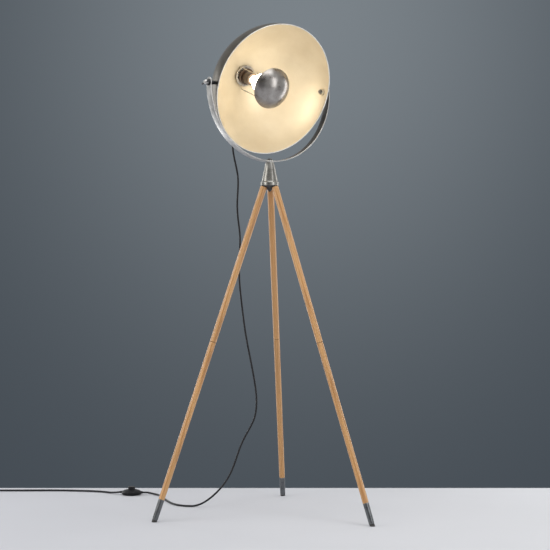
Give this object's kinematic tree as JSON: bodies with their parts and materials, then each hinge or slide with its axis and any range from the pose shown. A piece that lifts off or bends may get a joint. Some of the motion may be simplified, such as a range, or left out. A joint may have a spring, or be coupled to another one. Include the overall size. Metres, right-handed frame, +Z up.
{
  "type": "tripod floor lamp",
  "caption": "Tripod floor lamp: deep round metal shade with an anti-glare bowl, tilting in a U-shaped yoke on a swivelling hub with wooden legs; round flex with foot switch and flat plug.",
  "frame": {"origin": "floor level on the tripod's axis, the centre of the three feet", "axes": "+Z up, +Y towards the back leg, -Y is the front; the lamp faces 41 degrees from -Y towards +X at rest"},
  "size_m": [1.3583, 0.5711, 1.4715],
  "materials": {
    "hub_metal": "satin nickel plated, turned",
    "black_plastic": "fine matt moulded",
    "steel_fasteners": "bright zinc plated",
    "black_bolt": "black oxide",
    "leg_wood": "clear satin lacquer on beech",
    "foot_metal": "satin steel",
    "foot_rubber": "matt",
    "nylon": "natural nylon",
    "yoke_metal": "antique silver, brushed along the strip",
    "shade_metal": "antique gunmetal outside, cream lacquer inside",
    "bowl_metal": "antique gunmetal, brushed",
    "saddle_lacquer": "cream",
    "knob_boss": "bright nickel",
    "knob_black": "satin black",
    "cord_sheath": "soft black sheath",
    "holder_bakelite": "dark brown bakelite",
    "brass": "plain brass",
    "bulb_cap_metal": "bright",
    "bulb_insulator": "black glass",
    "bulb_glass": "pearl white, lit from inside",
    "bulb_mount": "clear foot with a coiled wire",
    "cage_metal": "antique gunmetal",
    "plug_plastic": "matt moulded",
    "plug_pin_metal": "nickel plated"
  },
  "bodies": {
    "stand": {"hub_cone": "hub_metal", "hub_core": "black_plastic", "leg_top_studs": "steel_fasteners", "leg_joint_studs": "steel_fasteners", "leg_joint_washers": "black_plastic", "leg_upper_back": "leg_wood", "leg_upper_left": "leg_wood", "leg_upper_right": "leg_wood", "leg_lower_back": "leg_wood", "leg_lower_left": "leg_wood", "leg_lower_right": "leg_wood", "foot_ferrule_back": "foot_metal", "foot_ferrule_left": "foot_metal", "foot_ferrule_right": "foot_metal", "foot_pad_back": "foot_rubber", "foot_pad_left": "foot_rubber", "foot_pad_right": "foot_rubber", "swivel_slide_washer": "nylon", "swivel_spring_washer": "steel_fasteners", "swivel_bolt": "black_bolt", "cord_lower": "cord_sheath", "cord_lead": "cord_sheath", "cord_coil": "cord_sheath", "cord_tail": "cord_sheath", "switch_base": "black_plastic", "switch_cover": "black_plastic", "switch_inside": "brass", "switch_spring": "steel_fasteners", "switch_bushings": "cord_sheath", "plug_body": "plug_plastic", "plug_pins": "plug_pin_metal"},
    "yoke": {"yoke_band": "yoke_metal", "cord_upper": "cord_sheath"},
    "head": {"shade_dome": "shade_metal", "pivot_spacers": "black_plastic", "pivot_saddles": "saddle_lacquer", "pivot_washers": "steel_fasteners", "pivot_nuts": "steel_fasteners", "pivot_bolt": "steel_fasteners", "nipple": "steel_fasteners", "nipple_nuts": "steel_fasteners", "cord_gland": "cord_sheath", "holder_cap": "holder_bakelite", "holder_body": "holder_bakelite", "holder_ring": "holder_bakelite", "holder_shell": "brass", "holder_contact": "brass", "bulb_cap": "bulb_cap_metal", "bulb_contact": "bulb_insulator", "bulb_glass": "bulb_glass", "bulb_mount": "bulb_mount", "cage_plate": "cage_metal", "cage_wire_low": "cage_metal", "cage_wire_right": "cage_metal", "cage_wire_left": "cage_metal", "bowl_reflector": "bowl_metal"},
    "tilt_knob": {"knob_screw": "knob_boss", "knob_bar": "knob_black", "knob_washer": "black_plastic"},
    "switch_button": {"switch_button": "black_plastic"}
  },
  "joints": [
    {"name": "yoke_pan", "type": "hinge", "parent": "stand", "child": "yoke", "pos_m": [0, 0, 1.063], "axis": [0, 0, 1], "range_deg": [-90, 90], "deforming": ["cord_upper", "cord_lower"]},
    {"name": "head_tilt", "type": "hinge", "parent": "yoke", "child": "head", "pos_m": [0, 0, 1.286], "axis": [0.7547, 0.6561, 0], "range_deg": [-65, 60], "deforming": ["cord_upper", "cord_lower"]},
    {"name": "knob_turn", "type": "hinge", "parent": "head", "child": "tilt_knob", "pos_m": [0, 0, 1.286], "axis": [-0.7547, -0.6561, 0], "range_deg": [0, 180]},
    {"name": "button_press", "type": "slide", "parent": "stand", "child": "switch_button", "axis": [0, 0, -1], "range_m": [0, 0.003], "stiffness_N_per_m": 800, "springref_m": -0.002, "deforming": ["switch_spring"]}
  ]
}
